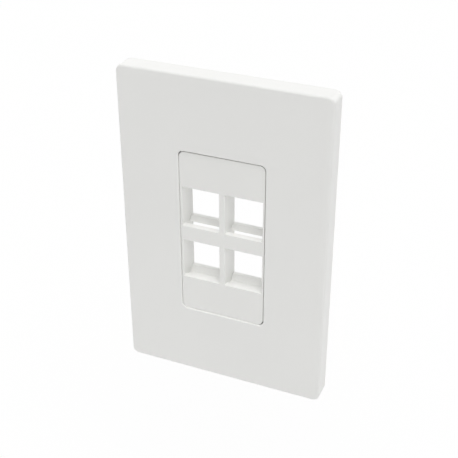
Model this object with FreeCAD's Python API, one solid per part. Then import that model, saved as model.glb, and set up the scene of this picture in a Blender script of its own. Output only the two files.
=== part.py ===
import FreeCAD, Part
import math
import os

from FreeCAD import Vector

# Screwless decorator wall plate with a flush four-port keystone insert.
# Millimetres. X to the right, Z up, Y into the wall. The wall plane is Y = 0 and the origin is
# the middle of the insert in that plane. A "depth" is a distance in front of the wall plane.

# ---- front cover -------------------------------------------------------------------------------
cover_width = 79.5
cover_height = 123.7
cover_depth = 7.6
cover_corner_r = 2.6
cover_front_edge_r = 0.8
cover_face_t = 1.7
cover_side_t = 1.6
cover_cavity_corner_r = 1.2
opening_width = 33.3
opening_height = 66.5
opening_corner_r = 2.0
opening_edge_r = 0.45
collar_t = 1.2
collar_rise = 1.2            # how far the collar stands behind the face's inner side
seat_rib_t = 1.0
seat_rib_half_width = 26.0
seat_rib_half_height = 53.0
pry_notch_width = 7.0
pry_notch_depth = 1.6
cover_play_x = 0.1           # the cover's play on its hooks, taken up to the right and upwards,
cover_play_z = 0.15          # so the seam is widest above the insert and on its right

# ---- snap hooks on the cover, windows for them in the sub-plate ---------------------------------
hook_width = 8.0
hook_arm_t = 1.2
hook_nose = 0.7
hook_land = 0.4              # straight part of the nose before its ramp
hook_ramp = 1.0
hook_side_reach = 31.0       # outer side of an arm, from the middle of the plate
hook_side_pitch = 40.0
hook_end_reach = 56.6
hook_clearance = 0.3

# ---- sub-plate ----------------------------------------------------------------------------------
web_depth = 5.3              # front of the sub-plate's web
web_t = 1.3
rim_t = 1.2
sub_plate_corner_r = 1.7
sub_plate_clearance = 0.3    # to the cover's side walls and to its collar
sub_plate_lip_t = 1.0
sub_plate_lip_rise = 1.5
brace_t = 1.0
brace_rise = 2.8
brace_z = 20.0
boss_r = 3.1

# ---- keystone insert ------------------------------------------------------------------------------
insert_gap = 0.2             # mean seam between the insert and the cover's opening
insert_recess = 0.55         # the insert's face lies this far behind the cover's
insert_corner_r = 2.3        # blunter than the opening's corners
insert_edge_r = 0.15
insert_face_t = 2.3
skirt_t = 1.4
pocket_rib_t = 1.2
strap_t = 1.6
strap_length = 106.4
strap_width = 30.0
strap_corner_r = 3.0

# ---- keystone ports ---------------------------------------------------------------------------------
port_width = 14.7
port_height = 16.0
port_pitch_x = 16.8
port_pitch_z = 21.9
port_columns = 2
port_rows = 2
port_depth = 9.25            # from the insert's face to the back of the port walls
port_edge_r = 0.15
ledge_length = 3.15          # front to back
ledge_rise = 0.5             # above the lower edge of the port's front opening
ledge_height = 1.8
ledge_toe = 0.1              # upright foot of the ledge's front
ledge_ramp_length = 1.7      # ramp from the toe to the ledge's top, for the jack's foot
end_wall_t = 1.4

# ---- screws, unified 6-32 ---------------------------------------------------------------------------
box_screw_spacing = 83.34
plate_screw_spacing = 96.84
thread_r = 1.7
screw_neck_r = 1.5           # plain neck under each head, as long as the strap is thick
screw_hole_clearance = 0.15
strap_slot_length = 8.0
screw_tip_chamfer = 0.5
drive_slot_width = 1.0
drive_slot_depth = 0.9
box_screw_length = 25.4      # below the head
pan_head_r = 3.4
pan_head_height = 2.0
pan_head_edge_r = 0.8
pan_head_edge_steps = 3      # cone facets that round the head's edge
plate_screw_length = 6.35    # with the flat head
flat_head_r = 3.5
flat_head_rim = 0.3
flat_head_half_angle = 41.0
countersink_clearance = 0.1

# ---- places worked out from the sizes above ---------------------------------------------------------
WALL_Y = 0.0
COVER_FRONT_Y = -cover_depth
COVER_INNER_Y = COVER_FRONT_Y + cover_face_t
WEB_FRONT_Y = -web_depth
WEB_BACK_Y = WEB_FRONT_Y + web_t
STRAP_FRONT_Y = -strap_t
INSERT_FRONT_Y = COVER_FRONT_Y + insert_recess
INSERT_FACE_BACK_Y = INSERT_FRONT_Y + insert_face_t
PORT_BACK_Y = INSERT_FRONT_Y + port_depth
LEDGE_FRONT_Y = PORT_BACK_Y - ledge_length
OVERCUT = 1.0                # how far cutting tools run past what they cut
TOUCH = 1e-6


def block(x0, x1, y0, y1, z0, z1):
    """Box between two corners."""
    return Part.makeBox(x1 - x0, y1 - y0, z1 - z0, Vector(x0, y0, z0))


def slab(width, height, radius, y0, y1):
    """Rectangle with round corners in XZ, centred on the Y axis and extruded from y0 to y1."""
    arcs = []
    for quarter, (sx, sz) in enumerate(((1, 1), (-1, 1), (-1, -1), (1, -1))):
        centre = Vector(sx * (width / 2 - radius), y0, sz * (height / 2 - radius))
        points = []
        for step in (0, 45, 90):
            angle = math.radians(quarter * 90 + step)
            points.append(centre + Vector(radius * math.cos(angle), 0, radius * math.sin(angle)))
        arcs.append(points)
    edges = []
    for points, following in zip(arcs, arcs[1:] + arcs[:1]):
        edges.append(Part.Arc(*points).toShape())
        edges.append(Part.LineSegment(points[-1], following[0]).toShape())
    return Part.Face(Part.Wire(edges)).extrude(Vector(0, y1 - y0, 0))


def ring(inner_width, inner_height, inner_r, wall, y0, y1):
    """Upright wall of even thickness round a rectangle with round corners."""
    outer = slab(inner_width + 2 * wall, inner_height + 2 * wall, inner_r + wall, y0, y1)
    return outer.cut(slab(inner_width, inner_height, inner_r, y0 - OVERCUT, y1 + OVERCUT))


def edges_in_plane(shape, y, half_width, half_height):
    """Edges that lie in the plane Y = y and within a centred rectangle."""
    found = []
    for edge in shape.Edges:
        box = edge.BoundBox
        flat = abs(box.YMin - y) < TOUCH and abs(box.YMax - y) < TOUCH
        inside = max(-box.XMin, box.XMax) <= half_width and max(-box.ZMin, box.ZMax) <= half_height
        if flat and inside:
            found.append(edge)
    return found


def round_bar(radius, y0, y1, x=0.0, z=0.0):
    """Cylinder along Y."""
    return Part.makeCylinder(radius, y1 - y0, Vector(x, y0, z), Vector(0, 1, 0))


def prism(points, length):
    """Outline in XY extruded along Z, centred on Z = 0."""
    corners = [Vector(x, y, -length / 2) for x, y in points]
    return Part.Face(Part.makePolygon(corners + corners[:1])).extrude(Vector(0, 0, length))


def rail(points, x0, x1):
    """Outline in YZ extruded along X from x0 to x1."""
    corners = [Vector(x0, y, z) for y, z in points]
    return Part.Face(Part.makePolygon(corners + corners[:1])).extrude(Vector(x1 - x0, 0, 0))


def turned(points):
    """Outline of (radius, y) points turned about the Y axis."""
    corners = [Vector(r, y, 0) for r, y in points]
    face = Part.Face(Part.makePolygon(corners + corners[:1]))
    return face.revolve(Vector(0, 0, 0), Vector(0, 1, 0), 360)


def moved(shape, x, z):
    """Copy of a shape shifted in the plane of the wall."""
    copy = shape.copy()
    copy.translate(Vector(x, 0, z))
    return copy


def hook_places():
    """Angle about Y, x and z of each snap hook's outer side: three a side, one at each end."""
    places = []
    for z in (-hook_side_pitch, 0.0, hook_side_pitch):
        places.append((0, hook_side_reach, z))
        places.append((180, -hook_side_reach, z))
    places.append((-90, 0.0, hook_end_reach))
    places.append((90, 0.0, -hook_end_reach))
    return places


def at_hooks(shape):
    """Copies of a shape made for a hook that points along +X, one at each hook."""
    copies = []
    for angle, x, z in hook_places():
        copy = shape.copy()
        copy.rotate(Vector(0, 0, 0), Vector(0, 1, 0), angle)
        copies.append(moved(copy, x, z))
    return copies


def make_front_cover():
    """Shell with the rectangular opening, its collar, seating ribs, snap hooks and pry notch."""
    shell = slab(cover_width, cover_height, cover_corner_r, COVER_FRONT_Y, WALL_Y)
    rim = edges_in_plane(shell, COVER_FRONT_Y, cover_width, cover_height)
    shell = shell.makeFillet(cover_front_edge_r, rim)
    cavity_width = cover_width - 2 * cover_side_t
    cavity_height = cover_height - 2 * cover_side_t
    cavity = slab(cavity_width, cavity_height, cover_cavity_corner_r, COVER_INNER_Y, WALL_Y + OVERCUT)
    collar_back = COVER_INNER_Y + collar_rise
    collar = ring(opening_width, opening_height, opening_corner_r, collar_t, COVER_INNER_Y, collar_back)
    seat = ring(
        2 * seat_rib_half_width - seat_rib_t,
        2 * seat_rib_half_height - seat_rib_t,
        opening_corner_r,
        seat_rib_t,
        COVER_INNER_Y,
        WEB_FRONT_Y,
    )
    nose_end = WEB_BACK_Y + hook_land
    hook = prism(
        [
            (-hook_arm_t, COVER_INNER_Y),
            (0, COVER_INNER_Y),
            (0, WEB_BACK_Y),
            (hook_nose, WEB_BACK_Y),
            (hook_nose, nose_end),
            (0, nose_end + hook_ramp),
            (-hook_arm_t, nose_end + hook_ramp),
        ],
        hook_width,
    )
    cover = shell.cut(cavity).multiFuse([collar, seat] + at_hooks(hook))
    opening = slab(
        opening_width, opening_height, opening_corner_r, COVER_FRONT_Y - OVERCUT, WALL_Y + OVERCUT
    )
    cover = cover.cut(opening).removeSplitter()
    mouth = edges_in_plane(cover, COVER_FRONT_Y, opening_width / 2 + TOUCH, opening_height / 2 + TOUCH)
    cover = cover.makeFillet(opening_edge_r, mouth)
    half = pry_notch_width / 2
    bottom = -cover_height / 2
    notch = block(
        -half, half, -pry_notch_depth, OVERCUT, bottom - OVERCUT, bottom + cover_side_t + TOUCH
    )
    return cover.cut(notch)


def make_sub_plate():
    """Tray-shaped frame: web, rim to the wall, lip round the opening, braces, bosses, hook windows."""
    inset = cover_side_t + sub_plate_clearance
    width = cover_width - 2 * inset
    height = cover_height - 2 * inset
    hole_width = opening_width + 2 * (collar_t + sub_plate_clearance)
    hole_height = opening_height + 2 * (collar_t + sub_plate_clearance)
    hole_r = opening_corner_r + collar_t
    plate = slab(width, height, sub_plate_corner_r, WEB_FRONT_Y, WEB_BACK_Y)
    rim_inner_r = sub_plate_corner_r - rim_t
    rim = ring(width - 2 * rim_t, height - 2 * rim_t, rim_inner_r, rim_t, WEB_FRONT_Y, WALL_Y)
    lip_back = WEB_BACK_Y + sub_plate_lip_rise
    lip = ring(hole_width, hole_height, hole_r, sub_plate_lip_t, WEB_BACK_Y, lip_back)
    braces = []
    for side in (-1, 1):
        near = side * (hole_width / 2 + sub_plate_lip_t / 2)
        far = side * (width / 2 - rim_t / 2)
        for z in (-brace_z, brace_z):
            braces.append(
                block(
                    min(near, far),
                    max(near, far),
                    WEB_BACK_Y,
                    WEB_BACK_Y + brace_rise,
                    z - brace_t / 2,
                    z + brace_t / 2,
                )
            )
    bosses = []
    holes = []
    spread = math.tan(math.radians(flat_head_half_angle))
    sink_r = flat_head_r + countersink_clearance
    shank_hole_r = thread_r + screw_hole_clearance
    rim_y = WEB_FRONT_Y + flat_head_rim
    cone_end = rim_y + (sink_r - shank_hole_r) / spread
    sink = turned(
        [
            (0, WEB_FRONT_Y - OVERCUT),
            (sink_r, WEB_FRONT_Y - OVERCUT),
            (sink_r, rim_y),
            (shank_hole_r, cone_end),
            (shank_hole_r, WALL_Y + OVERCUT),
            (0, WALL_Y + OVERCUT),
        ]
    )
    for sign in (-1, 1):
        z = sign * plate_screw_spacing / 2
        bosses.append(round_bar(boss_r, WEB_BACK_Y, STRAP_FRONT_Y, 0, z))
        holes.append(moved(sink, 0, z))
    hole = slab(hole_width, hole_height, hole_r, WEB_FRONT_Y - OVERCUT, WALL_Y)
    window = block(
        -hook_arm_t - hook_nose - hook_clearance,
        hook_clearance,
        WEB_FRONT_Y - OVERCUT,
        WEB_BACK_Y + OVERCUT,
        -hook_width / 2 - hook_clearance,
        hook_width / 2 + hook_clearance,
    )
    body = plate.multiFuse([rim, lip] + braces + bosses)
    return body.cut(Part.makeCompound([hole] + holes + at_hooks(window))).removeSplitter()


def port_centres():
    """Centre of each port's front opening, as (x, z)."""
    centres = []
    for column in range(port_columns):
        for row in range(port_rows):
            x = (column - (port_columns - 1) / 2) * port_pitch_x
            z = (row - (port_rows - 1) / 2) * port_pitch_z
            centres.append((x, z))
    return centres


def make_keystone_insert():
    """Face, skirt, strap ears and the snap-in ports, moulded in one piece."""
    width = opening_width - 2 * insert_gap
    height = opening_height - 2 * insert_gap
    body = slab(width, height, insert_corner_r, INSERT_FRONT_Y, WALL_Y)
    body = body.makeFillet(insert_edge_r, edges_in_plane(body, INSERT_FRONT_Y, width, height))

    rows_half = (port_rows - 1) / 2 * port_pitch_z + port_height / 2
    ledge_to_catch = port_pitch_z - ledge_height
    foot_slot_drop = ledge_height - ledge_rise
    slot_z = -rows_half - foot_slot_drop
    catch_z = rows_half - port_height + ledge_rise + ledge_to_catch
    strap = slab(strap_width, strap_length, strap_corner_r, STRAP_FRONT_Y, WALL_Y)
    ports_block = block(
        -width / 2, width / 2, INSERT_FACE_BACK_Y, PORT_BACK_Y, slot_z - end_wall_t, catch_z + end_wall_t
    )
    body = body.multiFuse([strap, ports_block])

    cuts = []
    pocket_x = width / 2 - skirt_t
    pocket_end = height / 2 - skirt_t
    for low, high in ((-pocket_end, slot_z - end_wall_t), (catch_z + end_wall_t, pocket_end)):
        for side in (-1, 1):
            near, far = side * pocket_rib_t / 2, side * pocket_x
            cuts.append(
                block(min(near, far), max(near, far), INSERT_FACE_BACK_Y, OVERCUT, low, high)
            )
    columns = sorted({x for x, z in port_centres()})
    for x in columns:
        x0, x1 = x - port_width / 2, x + port_width / 2
        cuts.append(block(x0, x1, INSERT_FACE_BACK_Y, LEDGE_FRONT_Y, slot_z, catch_z))
    for x, z in port_centres():
        x0, x1 = x - port_width / 2, x + port_width / 2
        low = z - port_height / 2
        ledge_top = low + ledge_rise
        cuts.append(block(x0, x1, INSERT_FRONT_Y - OVERCUT, INSERT_FACE_BACK_Y, low, low + port_height))
        rear_opening = [
            (LEDGE_FRONT_Y, ledge_top - ledge_height + ledge_toe),
            (LEDGE_FRONT_Y + ledge_ramp_length, ledge_top),
            (PORT_BACK_Y + OVERCUT, ledge_top),
            (PORT_BACK_Y + OVERCUT, ledge_top + ledge_to_catch),
            (LEDGE_FRONT_Y, ledge_top + ledge_to_catch),
        ]
        cuts.append(rail(rear_opening, x0, x1))
    hole_r = thread_r + screw_hole_clearance
    for sign in (-1, 1):
        slot_half = strap_slot_length / 2 - hole_r
        z = sign * box_screw_spacing / 2
        cuts.append(
            block(-slot_half, slot_half, STRAP_FRONT_Y - OVERCUT, WALL_Y + OVERCUT, z - hole_r, z + hole_r)
        )
        for end in (-slot_half, slot_half):
            cuts.append(round_bar(hole_r, STRAP_FRONT_Y - OVERCUT, WALL_Y + OVERCUT, end, z))
        screw_z = sign * plate_screw_spacing / 2
        cuts.append(round_bar(hole_r, STRAP_FRONT_Y - OVERCUT, WALL_Y + OVERCUT, 0, screw_z))
    for cut in cuts:
        body = body.cut(cut)
    body = body.removeSplitter()
    columns_half = (port_columns - 1) / 2 * port_pitch_x + port_width / 2
    mouths = edges_in_plane(body, INSERT_FRONT_Y, columns_half + TOUCH, rows_half + TOUCH)
    return body.makeFillet(port_edge_r, mouths)


def drive_slot(head_y, radius):
    """Upright screwdriver slot across a head."""
    half = drive_slot_width / 2
    return block(-half, half, head_y - OVERCUT, head_y + drive_slot_depth, -radius, radius)


def make_box_screw():
    """Pan-head screw from the strap into the wall box, on the Y axis."""
    head_y = STRAP_FRONT_Y - pan_head_height
    tip_y = STRAP_FRONT_Y + box_screw_length
    outline = [(0, head_y)]
    for step in range(pan_head_edge_steps + 1):
        angle = math.radians(90 * step / pan_head_edge_steps)
        outline.append(
            (
                pan_head_r - pan_head_edge_r * (1 - math.sin(angle)),
                head_y + pan_head_edge_r * (1 - math.cos(angle)),
            )
        )
    outline += [
        (pan_head_r, STRAP_FRONT_Y),
        (screw_neck_r, STRAP_FRONT_Y),
        (screw_neck_r, WALL_Y),
        (thread_r, WALL_Y),
        (thread_r, tip_y - screw_tip_chamfer),
        (thread_r - screw_tip_chamfer, tip_y),
        (0, tip_y),
    ]
    return turned(outline).cut(drive_slot(head_y, pan_head_r))


def make_plate_screw():
    """Flat-head screw from the sub-plate into the strap, on the Y axis."""
    spread = math.tan(math.radians(flat_head_half_angle))
    rim_y = WEB_FRONT_Y + flat_head_rim
    neck_y = rim_y + (flat_head_r - thread_r) / spread
    tip_y = WEB_FRONT_Y + plate_screw_length
    screw = turned(
        [
            (0, WEB_FRONT_Y),
            (flat_head_r, WEB_FRONT_Y),
            (flat_head_r, rim_y),
            (thread_r, neck_y),
            (thread_r, tip_y - screw_tip_chamfer),
            (thread_r - screw_tip_chamfer, tip_y),
            (0, tip_y),
        ]
    )
    return screw.cut(drive_slot(WEB_FRONT_Y, flat_head_r))


def main():
    box_screw = make_box_screw()
    plate_screw = make_plate_screw()
    nodes = {
        "front_cover": moved(make_front_cover(), cover_play_x, cover_play_z),
        "sub_plate": make_sub_plate(),
        "keystone_insert": make_keystone_insert(),
        "box_screw_upper": moved(box_screw, 0, box_screw_spacing / 2),
        "box_screw_lower": moved(box_screw, 0, -box_screw_spacing / 2),
        "plate_screw_upper": moved(plate_screw, 0, plate_screw_spacing / 2),
        "plate_screw_lower": moved(plate_screw, 0, -plate_screw_spacing / 2),
    }
    os.makedirs("parts", exist_ok=True)
    for name, shape in nodes.items():
        if not shape.isValid() or len(shape.Solids) != 1:
            raise ValueError(name + " is not one sound solid")
        shape.Solids[0].exportStep("parts/" + name + ".step")
        box = shape.BoundBox
        print(name, round(shape.Volume), [round(v, 2) for v in (box.XMin, box.XMax, box.YMin)],
              [round(v, 2) for v in (box.YMax, box.ZMin, box.ZMax)])


main()
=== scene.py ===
import math

import bmesh
import bpy
from mathutils import Matrix, Vector

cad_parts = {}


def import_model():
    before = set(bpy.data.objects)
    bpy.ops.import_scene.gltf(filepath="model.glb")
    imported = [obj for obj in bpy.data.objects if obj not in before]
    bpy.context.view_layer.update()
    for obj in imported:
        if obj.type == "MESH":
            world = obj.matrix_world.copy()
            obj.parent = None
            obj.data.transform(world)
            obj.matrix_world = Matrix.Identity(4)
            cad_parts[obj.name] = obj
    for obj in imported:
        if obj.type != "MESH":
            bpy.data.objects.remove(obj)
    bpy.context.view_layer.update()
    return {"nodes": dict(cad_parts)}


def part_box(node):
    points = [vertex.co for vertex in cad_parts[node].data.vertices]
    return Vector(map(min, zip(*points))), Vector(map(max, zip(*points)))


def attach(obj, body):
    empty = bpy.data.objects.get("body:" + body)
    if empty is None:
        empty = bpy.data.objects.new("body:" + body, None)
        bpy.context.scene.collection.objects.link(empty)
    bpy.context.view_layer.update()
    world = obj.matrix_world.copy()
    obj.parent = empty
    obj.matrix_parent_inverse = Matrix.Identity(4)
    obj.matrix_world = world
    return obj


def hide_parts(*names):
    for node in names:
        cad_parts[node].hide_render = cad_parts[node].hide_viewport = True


# A white screwless wall plate with a four-port keystone insert, in a white studio. The plastics are
# the CAD solids with moulded finishes, and each screw gets a helical thread behind its own head.

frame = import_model()
CAD_NODES = frame["nodes"]
MM = 0.001
INCH = 25.4 * MM

# ---- camera, at the photograph's angle ------------------------------------------------------------
CAMERA_AZIMUTH = 23.42              # degrees, to the object's right
CAMERA_ELEVATION = 30.24            # degrees
CAMERA_ROLL = -0.12                 # degrees
CAMERA_DISTANCE = 354.6 * MM
CAMERA_TARGET = Vector((-0.21 * MM, 0.0, 1.15 * MM))
CAMERA_NEAREST = 10 * MM
CAMERA_FARTHEST = 50.0
SENSOR_WIDTH = 36.0                 # millimetres, as is the focal length
FOCAL_LENGTH = 75.773

# ---- studio ---------------------------------------------------------------------------------------
WHITE = (1, 1, 1, 1)
FLOOR_DROP = 100 * MM               # floor below the plate's lower edge: the plate hangs on a wall
FLOOR_RADIUS = 6.0
FLOOR_SEGMENTS = 96
FLOOR_COLOUR = (0.96, 0.96, 0.955, 1)
FLOOR_WHITE_SHARE = 0.92            # share of plain white in the floor as it is seen
SKY_STRENGTH = 0.05                 # weak light from all round
LAMPS = (
    # name, azimuth to the object's right, elevation and width in degrees, strength
    ("overhead_lamp", 0, 80, 100, 1.29),
    ("key_lamp", 30, 62, 45, 1.22),
    ("right_lamp", 60, 40, 45, 0.24),
    ("rear_left_lamp", -120, 40, 100, 0.57),
    ("rear_right_lamp", 150, 15, 45, 0.6),
)

# ---- white moulded plastics -----------------------------------------------------------------------
PLASTICS = (
    # node, material, linear colour, roughness, height of the grain
    ("front_cover", "cover_plastic", (0.86, 0.86, 0.843), 0.36, 0.006 * MM),
    ("keystone_insert", "insert_plastic", (0.86, 0.86, 0.84), 0.40, 0.008 * MM),
    ("sub_plate", "sub_plate_plastic", (0.82, 0.82, 0.805), 0.50, 0.012 * MM),
)
PLASTIC_IOR = 1.49
PLASTIC_TONES = (0.99, 1.01)        # darkest and lightest tone, as shares of the colour
SHEEN_SPREAD = 0.04                 # roughness either way
WAVE_HEIGHT = 0.02 * MM

# ---- zinc plating ---------------------------------------------------------------------------------
ZINC = (0.42, 0.415, 0.4)
ZINC_TONES = (0.88, 1.1)
ZINC_ROUGHNESS = (0.22, 0.36)
TURNING_HEIGHT = 0.003 * MM

# ---- noises: cells per metre, finer octaves, and how strong each is beside the one before ----------
FLOW_NOISE = (22.0, 3.0, 0.5)       # faint mottle left by the plastic's flow
SHEEN_NOISE = (140.0, 4.0, 0.5)     # uneven gloss
WAVE_NOISE = (60.0, 1.0, 0.5)       # slow waves in a moulded face
GRAIN_NOISE = (3200.0, 3.0, 0.6)    # the mould's fine spark texture
CLOUD_NOISE = (900.0, 4.0, 0.6)     # cloudy zinc
TURNING_NOISE = (6000.0, 2.0, 0.5)  # turning marks
NOISE_RANGE = (0.3, 0.7)            # where most values of a noise lie

# ---- screws, unified 6-32 -------------------------------------------------------------------------
BODY = "root"
WALL_Y = 0.0
THREAD_R = 1.7 * MM
BOX_SCREW_NECK_R = 1.5 * MM
FLAT_HEAD_HEIGHT = 2.5 * MM
THREADS_PER_INCH = 32
THREAD_PITCH = INCH / THREADS_PER_INCH
THREAD_DEPTH = 0.43 * MM
THREAD_CREST = 0.2                  # flat crest and flat root, as shares of the pitch
THREAD_ROOT = 0.15
THREAD_RUN_OUT = 1.2                # turns in which the thread fades in under the head
STEPS_PER_PITCH = 10
STEPS_ROUND = 32
TIP_CHAMFER = 0.5 * MM
NECK_JOINT = 0.05 * MM              # from the cut through the neck to the thread's first ring
WELD = 0.001 * MM                   # vertices closer than this are one
SMOOTH_BELOW = math.radians(30)     # edges with a sharper turn stay crisp


class Nodes:
    """Short way to write a node tree."""

    def __init__(self, tree):
        tree.nodes.clear()
        self.tree = tree

    def add(self, kind, inputs=None, **settings):
        """New node, with each input set to a value or linked to another node's socket."""
        node = self.tree.nodes.new(kind)
        for key, value in settings.items():
            setattr(node, key, value)
        for key, value in (inputs or {}).items():
            if isinstance(value, bpy.types.NodeSocket):
                self.tree.links.new(value, node.inputs[key])
            else:
                node.inputs[key].default_value = value
        return node


def new_material(name):
    """Empty node material."""
    material = bpy.data.materials.new(name)
    material.use_nodes = True
    return material, Nodes(material.node_tree)


def noise(nodes, place, scale, detail, roughness):
    """Noise value over the surface, in metres of the frame."""
    inputs = {"Vector": place, "Scale": scale, "Detail": detail, "Roughness": roughness}
    return nodes.add("ShaderNodeTexNoise", inputs).outputs["Fac"]


def remap(nodes, value, low, high):
    """The middle of a noise value's range stretched to low..high."""
    least, most = NOISE_RANGE
    inputs = {"Value": value, "From Min": least, "From Max": most, "To Min": low, "To Max": high}
    return nodes.add("ShaderNodeMapRange", inputs).outputs["Result"]


def tinted(nodes, value, colour, tones):
    """Colour that a noise value makes darker or lighter."""
    darkest, lightest = tones
    mix = nodes.add("ShaderNodeMixRGB", {
        "Fac": remap(nodes, value, 0.0, 1.0),
        "Color1": tuple(c * darkest for c in colour) + (1,),
        "Color2": tuple(min(1.0, c * lightest) for c in colour) + (1,),
    })
    return mix.outputs["Color"]


def bump(nodes, height, distance, normal=None):
    """Normal of a surface with a fine relief, laid over an earlier normal if there is one."""
    inputs = {"Height": height, "Distance": distance, "Strength": 1.0}
    if normal is not None:
        inputs["Normal"] = normal
    return nodes.add("ShaderNodeBump", inputs).outputs["Normal"]


def moulded_plastic(name, colour, roughness, grain_height):
    """White moulded plastic: faint flow mottle, uneven sheen and the mould's fine spark texture."""
    material, nodes = new_material(name)
    place = nodes.add("ShaderNodeNewGeometry").outputs["Position"]
    flow = noise(nodes, place, *FLOW_NOISE)
    sheen = noise(nodes, place, *SHEEN_NOISE)
    waves = bump(nodes, noise(nodes, place, *WAVE_NOISE), WAVE_HEIGHT)
    grain = bump(nodes, noise(nodes, place, *GRAIN_NOISE), grain_height, waves)
    shader = nodes.add("ShaderNodeBsdfPrincipled", {
        "Base Color": tinted(nodes, flow, colour, PLASTIC_TONES),
        "Roughness": remap(nodes, sheen, roughness - SHEEN_SPREAD, roughness + SHEEN_SPREAD),
        "IOR": PLASTIC_IOR,
        "Normal": grain,
    })
    nodes.add("ShaderNodeOutputMaterial", {"Surface": shader.outputs["BSDF"]})
    return material


def zinc_plate(name):
    """Bright zinc plating: cloudy tone, soft uneven polish and fine turning marks."""
    material, nodes = new_material(name)
    place = nodes.add("ShaderNodeNewGeometry").outputs["Position"]
    cloud = noise(nodes, place, *CLOUD_NOISE)
    shader = nodes.add("ShaderNodeBsdfPrincipled", {
        "Base Color": tinted(nodes, cloud, ZINC, ZINC_TONES),
        "Metallic": 1.0,
        "Roughness": remap(nodes, cloud, *ZINC_ROUGHNESS),
        "Normal": bump(nodes, noise(nodes, place, *TURNING_NOISE), TURNING_HEIGHT),
    })
    nodes.add("ShaderNodeOutputMaterial", {"Surface": shader.outputs["BSDF"]})
    return material


def give(obj, material):
    """Make this the object's only material."""
    obj.data.materials.clear()
    obj.data.materials.append(material)


def thread_form(phase):
    """Depth of a 60 degree thread at a share of its pitch: 0 on the crest, 1 at the root."""
    flank = (1 - THREAD_CREST - THREAD_ROOT) / 2
    from_root = abs(phase - 0.5) - THREAD_ROOT / 2
    return 1 - min(1.0, max(0.0, from_root / flank))


def threaded_rod(bm, x, z, start, end, first_r):
    """Threaded shank along Y with a run-out at its head end and a chamfered tip, open at its start."""
    steps = round((end - start) / THREAD_PITCH * STEPS_PER_PITCH)
    rings = []
    for step in range(steps + 1):
        along = (end - start) * step / steps
        turns = along / THREAD_PITCH
        depth = THREAD_DEPTH * min(1.0, turns / THREAD_RUN_OUT)
        tip_r = THREAD_R - max(0.0, TIP_CHAMFER - (end - start - along))
        crest_r = first_r + (THREAD_R - first_r) * min(1.0, turns)
        ring = []
        for place in range(STEPS_ROUND):
            share = place / STEPS_ROUND
            r = min(crest_r - depth * thread_form((turns - share) % 1.0), tip_r)
            angle = 2 * math.pi * share
            corner = (x + r * math.sin(angle), start + along, z + r * math.cos(angle))
            ring.append(bm.verts.new(corner))
        rings.append(ring)
    for low, high in zip(rings, rings[1:]):
        for i in range(STEPS_ROUND):
            j = (i + 1) % STEPS_ROUND
            bm.faces.new((low[i], high[i], high[j], low[j]))
    bm.faces.new(rings[-1][::-1])


def cut_head(name, cut_y):
    """The node's own head and neck, welded, and open where the neck is cut off."""
    bm = bmesh.new()
    bm.from_mesh(CAD_NODES[name].data)
    bmesh.ops.remove_doubles(bm, verts=bm.verts[:], dist=WELD)
    everything = bm.verts[:] + bm.edges[:] + bm.faces[:]
    bmesh.ops.bisect_plane(
        bm, geom=everything, plane_co=(0, cut_y, 0), plane_no=(0, 1, 0), clear_outer=True
    )
    bmesh.ops.remove_doubles(bm, verts=bm.verts[:], dist=WELD)
    return bm


def threaded_screw(name, start, neck_r):
    """The node's own head and neck, joined to a threaded shank, as one closed mesh."""
    low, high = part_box(name)
    x, z = (low[0] + high[0]) / 2, (low[2] + high[2]) / 2
    bm = cut_head(name, start - NECK_JOINT)
    threaded_rod(bm, x, z, start, high[1], neck_r)
    open_edges = [edge for edge in bm.edges if edge.is_boundary]
    bmesh.ops.bridge_loops(bm, edges=open_edges)
    bmesh.ops.recalc_face_normals(bm, faces=bm.faces[:])
    for face in bm.faces:
        face.smooth = True
    for edge in bm.edges:
        edge.smooth = edge.calc_face_angle(math.pi) < SMOOTH_BELOW
    mesh = bpy.data.meshes.new(name + "_threaded")
    bm.to_mesh(mesh)
    bm.free()
    screw = bpy.data.objects.new(name + "_threaded", mesh)
    bpy.context.scene.collection.objects.link(screw)
    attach(screw, BODY)
    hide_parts(name)
    return screw


def box_screw(name):
    """Pan-head screw whose neck ends at the wall."""
    return threaded_screw(name, WALL_Y, BOX_SCREW_NECK_R)


def plate_screw(name):
    """Flat-head screw threaded up to its head's cone."""
    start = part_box(name)[0][1] + FLAT_HEAD_HEIGHT
    return threaded_screw(name, start, THREAD_R)


def direction(azimuth, elevation):
    """Unit vector from the plate towards an azimuth to its right and an elevation, in degrees."""
    azimuth, elevation = math.radians(azimuth), math.radians(elevation)
    return Vector((
        math.sin(azimuth) * math.cos(elevation),
        -math.cos(azimuth) * math.cos(elevation),
        math.sin(elevation),
    ))


def camera():
    """Camera at the photograph's angle, framed for a square picture."""
    back = direction(CAMERA_AZIMUTH, CAMERA_ELEVATION)
    right = Vector((0, 0, 1)).cross(back).normalized()
    rotation = Matrix((right, back.cross(right), back)).transposed()
    rotation = rotation @ Matrix.Rotation(math.radians(CAMERA_ROLL), 3, "Z")
    data = bpy.data.cameras.new("camera")
    data.sensor_width = SENSOR_WIDTH
    data.lens = FOCAL_LENGTH
    data.clip_start = CAMERA_NEAREST
    data.clip_end = CAMERA_FARTHEST
    cam = bpy.data.objects.new("camera", data)
    place = Matrix.Translation(CAMERA_TARGET + back * CAMERA_DISTANCE)
    cam.matrix_world = place @ rotation.to_4x4()
    bpy.context.scene.collection.objects.link(cam)
    bpy.context.scene.camera = cam


def seen(nodes):
    """1 for rays that show the background: from the camera, in a reflection or through glass."""
    path = nodes.add("ShaderNodeLightPath").outputs
    direct = nodes.add(
        "ShaderNodeMath", {0: path["Is Camera Ray"], 1: path["Is Transmission Ray"]},
        operation="MAXIMUM",
    )
    both = nodes.add(
        "ShaderNodeMath", {0: direct.outputs["Value"], 1: path["Is Glossy Ray"]},
        operation="MAXIMUM",
    )
    return both.outputs["Value"]


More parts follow.
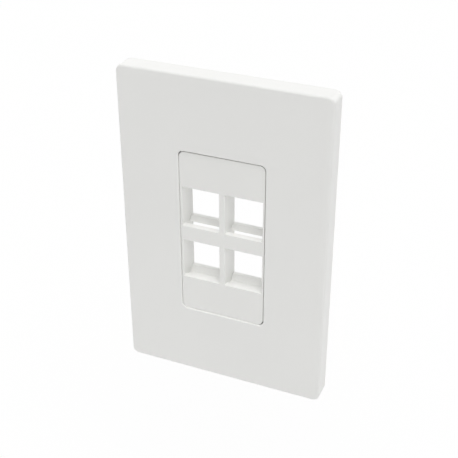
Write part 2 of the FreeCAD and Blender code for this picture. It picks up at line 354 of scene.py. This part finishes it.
def floor():
    """Plain pale floor well below the plate."""
    mesh = bpy.data.meshes.new("floor")
    disc = bmesh.new()
    bmesh.ops.create_circle(disc, cap_ends=True, radius=FLOOR_RADIUS, segments=FLOOR_SEGMENTS)
    disc.to_mesh(mesh)
    disc.free()
    obj = bpy.data.objects.new("floor", mesh)
    obj.location.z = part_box("front_cover")[0][2] - FLOOR_DROP
    bpy.context.scene.collection.objects.link(obj)
    material, nodes = new_material("floor_white")
    paint = nodes.add("ShaderNodeBsdfDiffuse", {"Color": FLOOR_COLOUR})
    white = nodes.add("ShaderNodeEmission", {"Color": WHITE, "Strength": 1.0})
    share = nodes.add(
        "ShaderNodeMath", {0: seen(nodes), 1: FLOOR_WHITE_SHARE}, operation="MULTIPLY"
    )
    mix = nodes.add("ShaderNodeMixShader", {
        0: share.outputs["Value"], 1: paint.outputs["BSDF"], 2: white.outputs["Emission"],
    })
    nodes.add("ShaderNodeOutputMaterial", {"Surface": mix.outputs["Shader"]})
    give(obj, material)


def world():
    """Surroundings that are seen as white and give a weak light of their own."""
    backdrop = bpy.data.worlds.new("studio")
    backdrop.use_nodes = True
    nodes = Nodes(backdrop.node_tree)
    white = nodes.add("ShaderNodeBackground", {"Color": WHITE, "Strength": 1.0})
    sky = nodes.add("ShaderNodeBackground", {"Color": WHITE, "Strength": SKY_STRENGTH})
    mix = nodes.add("ShaderNodeMixShader", {
        0: seen(nodes), 1: sky.outputs["Background"], 2: white.outputs["Background"],
    })
    nodes.add("ShaderNodeOutputWorld", {"Surface": mix.outputs["Shader"]})
    bpy.context.scene.world = backdrop


def lamps():
    """Wide soft lamps, far off."""
    for name, azimuth, elevation, width, strength in LAMPS:
        data = bpy.data.lights.new(name, "SUN")
        data.energy = strength
        data.angle = math.radians(width)
        lamp = bpy.data.objects.new(name, data)
        towards = direction(azimuth, elevation)
        lamp.location = towards
        lamp.rotation_euler = (-towards).to_track_quat("-Z", "Y").to_euler()
        bpy.context.scene.collection.objects.link(lamp)


def main():
    """Make the studio, the finishes and the threaded screws."""
    camera()
    floor()
    world()
    lamps()
    bpy.context.scene.view_settings.view_transform = "Standard"
    for node, name, colour, roughness, grain_height in PLASTICS:
        give(CAD_NODES[node], moulded_plastic(name, colour, roughness, grain_height))
    zinc = zinc_plate("screw_zinc")
    for level in ("upper", "lower"):
        give(box_screw("box_screw_" + level), zinc)
        give(plate_screw("plate_screw_" + level), zinc)


main()
